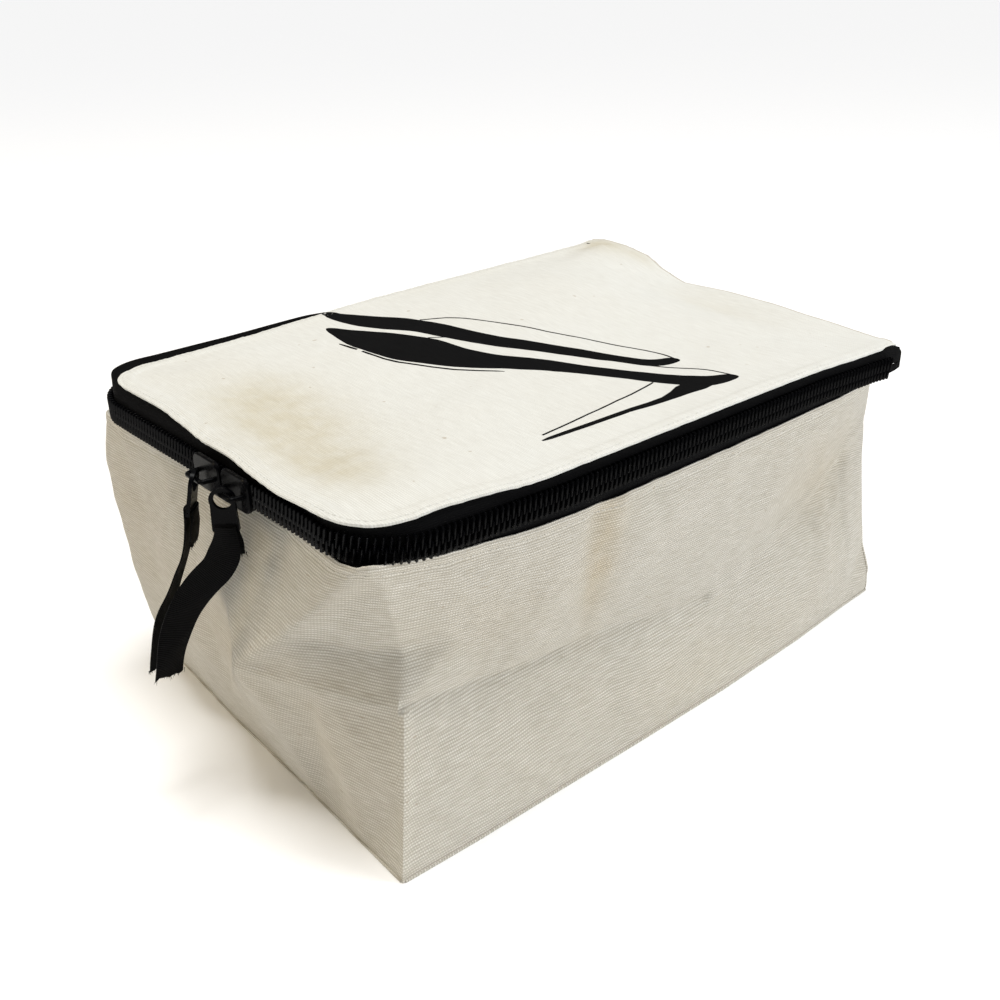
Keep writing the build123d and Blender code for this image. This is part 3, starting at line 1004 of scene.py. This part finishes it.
def roundBack(maker):
    # past its last straight place a strip turns round the back corner and tucks into the seam
    first, last = backCorner["straight"], rimEnd - backCorner["straight"]
    pivotX, pivotY = backCorner["pivot"]
    middle = backCorner["roundAbout"]

    def make(p):
        over = max(p - last, first - p, 0)
        side = 1 if p > last else -1
        spot = maker(min(max(p, first), last))
        # the band's end at the back right corner is rounded off
        late = min(max((p - backCorner["roundFrom"]) / backCorner["roundOver"], 0), 1)
        spot.z = middle + (spot.z - middle) * max(math.sqrt(1 - late * late), backCorner["least"])
        if not over:
            return spot
        angle = side * min(over / backCorner["radius"], math.pi / 2)
        pivot = Vector((side * pivotX, pivotY, spot.z))
        spot = Matrix.Rotation(angle, 3, "Z") @ (spot - pivot) + pivot
        spot.x -= side * max(over - backCorner["quarterTurn"], 0)
        spot.y += (backCorner["seam"] - spot.y) * ease(6, 15, over)
        return spot
    return make


def stripAlong(name, rowMakers, low, high, toward=fromMiddle, thickness=0.8, offset=-1.0, heights=None):
    # a strip along the rim. Each row maker gives a point for a place p
    places = spread(low, high, int((high - low) / 3.0))
    rows = [[maker(p) for p in places] for maker in rowMakers]
    heights = heights or [3.0 * k for k in range(len(rows))]
    return gridPiece(name, rows, [[(p, height) for p in places] for height in heights], toward,
                     thickness, offset)


def liftedOut(start, end, risen, moved):
    # a point that goes up by one share and outward by another
    return Vector((start.x + (end.x - start.x) * moved, start.y + (end.y - start.y) * moved,
                   start.z + (end.z - start.z) * risen))


hemShare = 0.34   # the part of the lower tape's height that lies behind the wall


def lowerTapeRow(share):
    # from 8 mm behind the wall's hem, share 0, up to the chain, share 1
    def make(p):
        top, _ = wallTopPoint(p, inset=box["canvas"] + 0.35)
        chain, _ = chainPoint(p, inset=box["canvas"])
        # towards each back corner the tape rises out from behind the wall, then moves outward
        loose = max(1 - ease(10, 24, p), ease(832, 848, p))
        moved = max(1 - ease(10, 24, p), ease(848, 862, p))
        end = chain + Vector((0, 0, -3.4))
        if share < hemShare:
            behind, _ = wallAt(p, 125 + 8 * share / hemShare, box["canvas"] + 0.3)
            return liftedOut(behind, end + Vector((0, 0, -0.6 * (1 - share / hemShare))), loose, moved)
        top = liftedOut(top, end + Vector((0, 0, 0.1)), loose, moved)
        rise = (share - hemShare) / (1 - hemShare)
        meet = 1.1 * max(1 - ease(8, 14, p), ease(862, 868, p))
        straight = chain + Vector((0, 0, -0.8 + meet * rise - (6.4 - 3.9 * loose) * (1 - rise)))
        return straight.lerp(top + Vector((0, 0, -0.1)), 1 - ease(0.0, 0.5, rise))
    return make


def upperTapeRow(share):
    def make(p):
        chain, _ = chainPoint(p, inset=box["canvas"])
        edge, _ = lidEdgePoint(p, inset=box["canvas"] + 0.1, drop=box["canvas"] + 0.1)
        # in front and at the back right corner the band stands proud of the lid's edge
        for stray, mix in ((bandTopStray, ease(180, 215, p) * (1 - ease(350, 376, p))),
                           (cornerBandStray, ease(846, 862, p))):
            if mix:
                proud, _ = rimPoint(p, stray, box["rimRadius"], box["lidTop"], 0.6, 0.3)
                edge = edge.lerp(proud, mix)
        straight = chain + Vector((0, 0, 0.8 + (edge.z - chain.z - 0.8) * share))
        return liftedOut(straight, edge, 0, ease(0.55, 1.0, share))
    return make


def turnedInRow(depth):
    # the part of the upper tape that lies under the lid
    def make(p):
        inside = box["canvas"] + 0.1 + depth
        spot, _ = ringPoint(p, box["rimRadius"], inside)
        at = lidPoint(spot.x, min(spot.y, 163))
        return at + Vector((0, 0, -box["canvas"] - 0.35 - 0.15 * min(depth, 1)))
    return make


lowerShares = [0, 0.17, hemShare, 0.42, 0.5, 0.58, 0.67, 0.76, 0.88, 1.0]
lowerTape = stripAlong("lowerZipTape", [roundBack(lowerTapeRow(s)) for s in lowerShares], -10, rimEnd + 10,
                       thickness=zipper["tape"], heights=[s * 18 for s in lowerShares])
dress(lowerTape, "zipTape", "bag", ["lower_zip_tape"])
upperRows = ([upperTapeRow(s) for s in (0, 0.25, 0.5, 0.7, 0.85, 1.0)]
             + [turnedInRow(d) for d in (1.5, 4, 8.2)])
upperTape = stripAlong("upperZipTape", [roundBack(row) for row in upperRows], -10, rimEnd + 10,
                       thickness=zipper["tape"], heights=[0, 2.5, 5, 7, 8.5, 10, 12, 14.5, 18.5])
dress(upperTape, "zipTape", None, ["upper_zip_tape"])
bendWithLid(upperTape)


def startRod(sides, depth):
    bpy.ops.object.select_all(action="DESELECT")
    bpy.ops.mesh.primitive_cylinder_add(vertices=sides, radius=1.0, depth=depth, location=(0, 0, 0))
    return bpy.context.active_object


def pickFaces(piece, wanted):
    # leaves the piece in edit mode, with only the wanted faces selected
    bpy.ops.object.mode_set(mode="EDIT")
    bpy.ops.mesh.select_all(action="DESELECT")
    bpy.ops.object.mode_set(mode="OBJECT")
    for face in piece.data.polygons:
        face.select = wanted(face)
    bpy.ops.object.mode_set(mode="EDIT")


def takeShape(piece):
    # the points and faces to copy. The piece itself goes
    shape = [vertex.co.copy() for vertex in piece.data.vertices]
    faces = [tuple(face.vertices) for face in piece.data.polygons]
    bpy.data.objects.remove(piece)
    return shape, faces


def makeTooth():
    # one turn of the coil, standing up the chain: a rod with rounded ends
    tooth = startRod(8, 3.7)
    for sign in (1, -1):
        pickFaces(tooth, lambda face: face.normal.z * sign > 0.9)
        bpy.ops.mesh.inset(thickness=0.34, depth=0.38)
        bpy.ops.object.mode_set(mode="OBJECT")
    return takeShape(tooth)


def pointOutEach(piece):
    # mirrored copies come inside out, so their faces are turned the right way
    bpy.ops.object.select_all(action="DESELECT")
    piece.select_set(True)
    bpy.context.view_layer.objects.active = piece
    bpy.ops.object.mode_set(mode="EDIT")
    bpy.ops.mesh.select_all(action="SELECT")
    bpy.ops.mesh.normals_make_consistent(inside=False)
    bpy.ops.object.mode_set(mode="OBJECT")
    piece.select_set(False)


def addCopies(name, shape, faces, places):
    # places: matrices in millimetres
    vertices, allFaces, uvs = [], [], []
    for place in places:
        base = len(vertices)
        for point in shape:
            vertices.append(place @ point)
            uvs.append((point.x * 3, point.z * 3))
        allFaces += [tuple(base + i for i in face) for face in faces]
    piece = addMesh(name, vertices, allFaces, uvs)
    finishMesh(piece, angle=50)
    pointOutEach(piece)
    return piece


def evenPlaces(maker, low, high, pitch, offset=0.0):
    # places along a line at an even spacing, with its direction and way out
    samples = [maker(p) for p in spread(low, high, 1600)]
    places, run, wanted = [], 0.0, offset
    for (a, outA), (b, _) in zip(samples, samples[1:]):
        length = (b - a).length
        while run + length >= wanted:
            share = (wanted - run) / length if length else 0
            places.append((a.lerp(b, share), (b - a).normalized(), outA))
            wanted += pitch
        run += length
    return places


toothShape, toothFaces = makeTooth()


def addCoil(name, sign, offset, body, node):
    # the half of the chain below, sign -1, or above, sign 1
    places = []
    low, high = zipper["reach"]
    lean = math.radians(zipper["slant"])
    for spot, along, _ in evenPlaces(chainPoint, zipper["firstTooth"], rimEnd - zipper["firstTooth"],
                                     zipper["pitch"], offset):
        flat = Vector((along.x, along.y, 0)).normalized()
        out = Vector((flat.y, -flat.x, 0))
        upright = (Vector((0, 0, 1)) * math.cos(lean) + flat * math.sin(lean)).normalized()
        side = upright.cross(out) * -1
        centre = spot + out * zipper["proud"] + upright * sign * (low + high) / 2
        turn = Matrix((side * zipper["thick"] / 2, out * zipper["deep"],
                       upright * sign * (high - low) / zipper["toothLength"])).transposed()
        places.append(Matrix.Translation(centre) @ turn.to_4x4())
    dress(addCopies(name, toothShape, toothFaces, places), "coil", body, [node])


addCoil("lowerZipCoil", -1, 0.0, "bag", "lower_zip_coil")
addCoil("upperZipCoil", 1, zipper["pitch"] / 2, "lid", "upper_zip_coil")
print("zip made")


def backEdgeColumn(side, level):
    # the wall's upright back edge, carried on up to the lid's corner
    p = 0.0 if side < 0 else rimEnd
    top = box["wallTop"]
    if level <= top:
        return wallAt(p, level)[0]
    corner = lidPoint(side * 107.5, 164.5) + Vector((0, 0, -1.5))
    return wallAt(p, top)[0].lerp(corner, (level - top) / (box["backTop"] - top))


def backPoint(x, level, inset=0.0):
    share = (x + 108) / 216
    spot = backEdgeColumn(-1, level).lerp(backEdgeColumn(1, level), share)
    middle = math.sin(math.pi * share)
    straightUp = backEdgeUp(-108) * (1 - share) + backEdgeUp(108) * share
    spot.z += (backEdgeUp(x) - straightUp) * ease(60, box["backTop"], level)
    if middle > 0:
        pull = middle ** 0.4
        spot.y = spot.y * (1 - pull) + 164.6 * pull
    sway = 1.6 * fractal(x, level, 31, 60) - 2.5 * math.exp(-((level - 70) / 40) ** 2)
    spot.y += middle * sway * ease(0, 20, level) * (1 - ease(128, 148, level))
    spot.y -= inset
    return spot


back = {
    "levels": [0, 1.2, 3] + [6 + 3 * k for k in range(48)] + [150],
    "tan": [(0, 100, 60, 40, 0.2), (-80, 40, 30, 30, 0.3)],
}
backColumns = spread(-108, 108, 72)
backPanel = gridPiece("backPanel", [[backPoint(x, level) for x in backColumns] for level in back["levels"]],
                      [[(x, level) for x in backColumns] for level in back["levels"]],
                      lambda c: Vector((0, 1, 0)), box["canvas"])
paintStainAndShade(backPanel, back["tan"])
dress(backPanel, "canvas", "bag", ["back_panel"])


def addRoll(name, line, radius, sides=12):
    # a rolled seam along a line of points, closed at its ends
    rows, uvRows = [], []
    for index, spot in enumerate(line):
        before, after = line[max(index - 1, 0)], line[min(index + 1, len(line) - 1)]
        along = (after - before).normalized()
        up = Vector((0, 0, 1))
        out = along.cross(up).normalized()
        up = out.cross(along)
        size = radius * (0.35 if index in (0, len(line) - 1) else 1)
        rows.append([spot + (out * math.cos(a) + up * math.sin(a)) * size
                     for a in [k * 2 * math.pi / sides for k in range(sides)]])
    vertices = [point for row in rows for point in row]
    faces = []
    for r in range(len(rows) - 1):
        for k in range(sides):
            a, b = r * sides + k, r * sides + (k + 1) % sides
            faces.append((a, b, b + sides, a + sides))
    faces.append(tuple(range(sides))[::-1])
    faces.append(tuple(range((len(rows) - 1) * sides, len(rows) * sides)))
    uvs = [(index * 3.0, k * 0.8) for index in range(len(rows)) for k in range(sides)]
    piece = addMesh(name, vertices, faces, uvs)
    pointOutEach(piece)
    finishMesh(piece, angle=60)
    return piece


seamLine = []
for x in spread(-107.5, 107.5, 72):
    at = lidPoint(x, 163.3)
    seamLine.append(Vector((at.x, 163.4, at.z - 1.5)))
dress(addRoll("hingeSeam", seamLine, 1.5), "binding", "bag", ["hinge_seam"])


def floorSpot(spot):
    # the base lies flat at its edges and rises a little in the middle
    middle = max(0.0, 1 - (spot.x / 104) ** 4) * max(0.0, 1 - (spot.y / 160) ** 4)
    return Vector((spot.x, spot.y, 1.25 + middle * (0.6 + 0.9 * fractal(spot.x, spot.y, 3, 50))))


def addBase():
    outline = [tuple(basePoint(p * 4.0).xy) for p in range(0, 220)]
    outline += [(109 - 6.0 * k, 168.0 - 5.0 * k / 36) for k in range(1, 36)]
    within = spotsWithin((-90.0, 90.0, -150.0, 156.0), 6.0, lambda x, y: abs(x) < 90 and -145 < y < 158)
    piece = cutSheet("basePanel", outline, within, floorSpot, box["canvas"])
    paintStainAndShade(piece, [])
    dress(piece, "canvas", "bag", ["base_panel"])


addBase()

# bindings, seen when the lid is open
binding = {
    "thick": 0.8,
    "baseLevels": (2.2, 5, 8, 11.2),
    "hingeLevels": (138, 141, 144, 147),
    "cornerLevels": [12 + 3 * k for k in range(38)],
    "lidDepths": (9.2, 10.4, 12.0, 13.6, 16.0),
}


def backStrip(name, xs, levels, heights, aside=0.0):
    # a binding on the inner face of the back panel
    rows = [[backPoint(x, level, box["canvas"] + 0.2) - Vector((aside, 0, 0)) for x in xs]
            for level in levels]
    return gridPiece(name, rows, [[(x, height) for x in xs] for height in heights],
                     lambda c: Vector((0, -1, 0)), binding["thick"], 1)


baseRows = [lambda p, h=h: wallAt(p, h, box["canvas"] + 0.25)[0] for h in binding["baseLevels"]]
baseBinding = joinAll("baseSeamBinding", [
    stripAlong("baseSeamBinding", baseRows, 2.5, rimEnd - 2.5, toward=inward, offset=1),
    backStrip("baseSeamBack", spread(-104, 104, 60), binding["baseLevels"], (0, 3, 6, 9))])
dress(baseBinding, "binding", "bag", ["base_seam_binding"])
strips = [backStrip("strip", [side * x for x in spread(107, 97.5, 4)], binding["cornerLevels"],
                    binding["cornerLevels"], side * 1.2) for side in (-1, 1)]
dress(joinAll("cornerSeamBindings", strips), "binding", "bag", ["corner_seam_bindings"])
hingeBinding = backStrip("hingeSeamBinding", spread(-103, 103, 60), binding["hingeLevels"], (0, 3, 6, 9))
dress(hingeBinding, "binding", "bag", ["hinge_seam_binding"])


def underLid(depth, drop):
    def make(p):
        spot, _ = ringPoint(p, box["rimRadius"], depth)
        return lidPoint(spot.x, min(spot.y, 160), -box["canvas"] - drop)
    return make


lidBinding = stripAlong("lidSeamBinding", [underLid(depth, 0.55) for depth in binding["lidDepths"]],
                        16, rimEnd - 16, toward=lambda c: Vector((0, 0, -1)), offset=1)
dress(lidBinding, "binding", None, ["lid_seam_binding"])
bendWithLid(lidBinding)
print("seams made")


stitch = {"pitch": 2.9, "length": 1.75, "thick": 0.26}


def makeStitch():
    # a short rod with domed ends
    rod = startRod(6, 1.0)
    pickFaces(rod, lambda face: abs(face.normal.z) > 0.9)
    bpy.ops.mesh.inset(thickness=0.45, depth=0.0, use_individual=True)
    bpy.ops.object.mode_set(mode="OBJECT")
    for vertex in rod.data.vertices:
        if math.hypot(vertex.co.x, vertex.co.y) < 0.8:
            vertex.co.z *= 1.25
    return takeShape(rod)


stitchShape, stitchFaces = makeStitch()


def addStitches(name, places, finish, body):
    # with no body of their own, the stitches only get their place baked into their points
    matrices = []
    for spot, along, out in places:
        along = (along + Vector([random.uniform(-0.03, 0.03) for _ in range(3)])).normalized()
        side = along.cross(out).normalized()
        out = side.cross(along)
        turn = Matrix((side * stitch["thick"], out * stitch["thick"] * 0.8,
                       along * stitch["length"])).transposed()
        matrices.append(Matrix.Translation(spot) @ turn.to_4x4())
    piece = addCopies(name, stitchShape, stitchFaces, matrices)
    dress(piece, finish, body, ())
    if not body:
        bendWithLid(piece)


def hemLine(p):
    spot, normal = wallAt(p, wall["stitchLevel"])
    return spot + normal * 0.12, normal


def lidLine(p):
    spot, _ = ringPoint(p, box["rimRadius"], lid["stitch"])
    return lidPoint(spot.x, min(spot.y, 162), 0.1), Vector((0, 0, 1))


addStitches("hemStitches", evenPlaces(hemLine, 3, rimEnd - 3, stitch["pitch"]), "thread", "bag")
addStitches("lidStitches", evenPlaces(lidLine, 4, rimEnd - 4, stitch["pitch"]), "lidThread", None)
print("stitches made")


shoePrint = {
    "origin": (-80.0, -70.0),
    "turn": 17.7,
    "length": 198.0,
    "lift": 0.12,
    "thick": 0.12,
    "spanSteps": [6, 3, 3, 6],   # points on each stretch of each outline
    # closed outlines along and across the shoe, as shares of its length
    "shapes": [
        # the near shoe: vamp and quarter
        [(0.00, 0.100), (0.06, 0.055), (0.15, 0.015), (0.26, 0.000), (0.36, 0.020), (0.48, 0.072),
         (0.62, 0.140), (0.76, 0.192), (0.88, 0.215), (0.965, 0.250), (1.0, 0.332), (0.975, 0.348),
         (0.92, 0.298), (0.80, 0.258), (0.64, 0.214), (0.50, 0.172), (0.40, 0.154), (0.32, 0.162),
         (0.25, 0.160), (0.16, 0.142), (0.07, 0.118)],
        # its heel
        [(0.905, 0.228), (0.968, 0.254), (0.928, 0.140), (0.868, -0.030), (0.806, -0.206), (0.795, -0.204),
         (0.852, -0.030), (0.900, 0.125)],
        # its sole's thin edge
        [(0.12, 0.010), (0.26, -0.014), (0.38, 0.008), (0.52, 0.068), (0.52, 0.074), (0.38, 0.015),
         (0.26, -0.007), (0.12, 0.017)],
        # the far shoe, behind
        [(-0.09, 0.195), (-0.04, 0.165), (0.05, 0.150), (0.14, 0.162), (0.22, 0.184), (0.32, 0.190),
         (0.44, 0.206), (0.58, 0.244), (0.72, 0.288), (0.80, 0.312), (0.84, 0.378), (0.815, 0.388),
         (0.76, 0.342), (0.62, 0.306), (0.48, 0.278), (0.36, 0.262), (0.27, 0.266), (0.18, 0.262),
         (0.08, 0.240), (-0.02, 0.212)],
    ],
    # thin lines: the far side of each shoe's opening, and the inside of each heel cup
    "lineWidth": 0.0045,
    "lines": [
        [(0.27, 0.163), (0.33, 0.205), (0.45, 0.236), (0.60, 0.262), (0.76, 0.300), (0.90, 0.345),
         (0.985, 0.347)],
        [(0.18, 0.264), (0.25, 0.312), (0.36, 0.345), (0.50, 0.362), (0.64, 0.385), (0.76, 0.402),
         (0.83, 0.386)],
        [(0.845, 0.205), (0.838, 0.12), (0.822, 0.02), (0.802, -0.09), (0.781, -0.20)],
    ],
}


def curveSpan(a, b, c, d, steps):
    # the stretch from b to c of a smooth line through four points
    return [0.5 * ((2 * b) + (c - a) * t + (2 * a - 5 * b + 4 * c - d) * t * t
                   + (3 * b - a - 3 * c + d) * t * t * t) for t in [step / steps for step in range(steps)]]


def closedCurve(points, steps):
    count, line = len(points), []
    for index in range(count):
        line += curveSpan(*[Vector(points[(index + k) % count]) for k in (-1, 0, 1, 2)], steps)
    return line


def thinLine(points, width):
    # a narrow closed outline along an open smooth line
    padded = [Vector(point) for point in [points[0], *points, points[-1]]]
    line = []
    for index in range(1, len(padded) - 2):
        line += curveSpan(*padded[index - 1:index + 3], 6)
    line.append(padded[-1])
    left, right = [], []
    for index, spot in enumerate(line):
        along = (line[min(index + 1, len(line) - 1)] - line[max(index - 1, 0)]).normalized()
        away = Vector((-along.y, along.x)) * width / 2
        left.append(spot + away)
        right.append(spot - away)
    return left + right[::-1]


def insideOf(outline, x, y):
    inside = False
    for a, b in zip(outline, outline[1:] + outline[:1]):
        if (a.y > y) != (b.y > y) and x < (b.x - a.x) * (y - a.y) / (b.y - a.y) + a.x:
            inside = not inside
    return inside


def addPrint():
    turn = Matrix.Rotation(math.radians(shoePrint["turn"]), 2)
    parts = []
    outlines = [closedCurve(*pair) for pair in zip(shoePrint["shapes"], shoePrint["spanSteps"])]
    outlines += [thinLine(points, shoePrint["lineWidth"]) for points in shoePrint["lines"]]
    for number, shape in enumerate(outlines):
        outline = [turn @ (spot * shoePrint["length"]) + Vector(shoePrint["origin"]) for spot in shape]
        xs, ys = [s.x for s in outline], [s.y for s in outline]
        within = spotsWithin((min(xs), max(xs), min(ys), max(ys)), 3.0, lambda x, y: insideOf(outline, x, y))
        parts.append(cutSheet("print%d" % number, outline, within,
                              lambda spot: lidPoint(spot.x, spot.y, shoePrint["lift"]), shoePrint["thick"]))
    dress(joinAll("printedShoes", parts), "print", "lid", ())


addPrint()
print("print made")


def addFloor():
    bpy.ops.object.select_all(action="DESELECT")
    bpy.ops.mesh.primitive_plane_add(size=400.0, location=(0, 0, 0))
    floor = bpy.context.active_object
    floor.name = "floor"
    material, tree, shader = newMaterial("paleFloor")
    place = addNode(tree, "ShaderNodeTexCoord").outputs["Object"]
    grain = addNode(tree, "ShaderNodeTexNoise", {"Vector": place, "Scale": 40.0, "Detail": 3.0}).outputs[0]
    colour = mixColour(tree, grain, (0.97, 0.97, 0.97, 1), (0.99, 0.99, 0.99, 1))
    tree.links.new(colour, shader.inputs["Base Color"])
    shader.inputs["Roughness"].default_value = 0.9
    shader.inputs["Specular IOR Level"].default_value = 0.1
    floor.data.materials.append(material)


def addLamp(name, kind, facts):
    data = bpy.data.lights.new(name, kind)
    data.energy = facts["power"]
    data.color = facts["colour"]
    lamp = bpy.data.objects.new(name, data)
    scene.collection.objects.link(lamp)
    return data, lamp


def addPanelLight(name, facts):
    data, lamp = addLamp(name, "AREA", facts)
    data.shape = "RECTANGLE"
    data.size, data.size_y = facts["size"]
    lamp.location = facts["place"]
    lamp.rotation_euler = (Vector(facts["aim"]) - Vector(facts["place"])).to_track_quat("-Z", "Y").to_euler()


def addSun(facts):
    data, lamp = addLamp("sun", "SUN", facts)
    data.angle = math.radians(facts["spread"])
    lamp.rotation_euler = Vector(facts["toward"]).to_track_quat("Z", "Y").to_euler()


def addWorld(strength):
    world = bpy.data.worlds.new("softRoom")
    world.use_nodes = True
    tree = world.node_tree
    soft = tree.nodes["Background"]
    soft.inputs["Color"].default_value = (1, 1, 1, 1)
    soft.inputs["Strength"].default_value = strength
    # what is seen past the floor is as pale as the floor
    seen = addNode(tree, "ShaderNodeBackground", {"Color": (1, 1, 1, 1), "Strength": 1.0}).outputs[0]
    direct = addNode(tree, "ShaderNodeLightPath").outputs["Is Camera Ray"]
    both = addNode(tree, "ShaderNodeMixShader", {0: direct, 1: soft.outputs[0], 2: seen}).outputs[0]
    tree.links.new(both, tree.nodes["World Output"].inputs["Surface"])
    scene.world = world


lights = {
    "world": 0.2,
    "sun": {"toward": (0.06, 0.04, 1.0), "power": 2.42, "spread": 24, "colour": (1, 1, 1)},
    "side": {"place": (1.7, 1.0, 0.8), "aim": (0, 0, 0.08), "size": (0.6, 0.6), "power": 19.5,
             "colour": (0.95, 0.97, 1)},
    "fill": {"place": (-0.9, -1.2, 1.5), "aim": (0, 0, 0.08), "size": (0.6, 0.6), "power": 11.5,
             "colour": (1, 0.85, 0.6)},
}


addFloor()
addWorld(lights["world"])
addSun(lights["sun"])
for name in ("side", "fill"):
    addPanelLight(name, lights[name])
scene.view_settings.view_transform = "Standard"
print("floor and lights made")
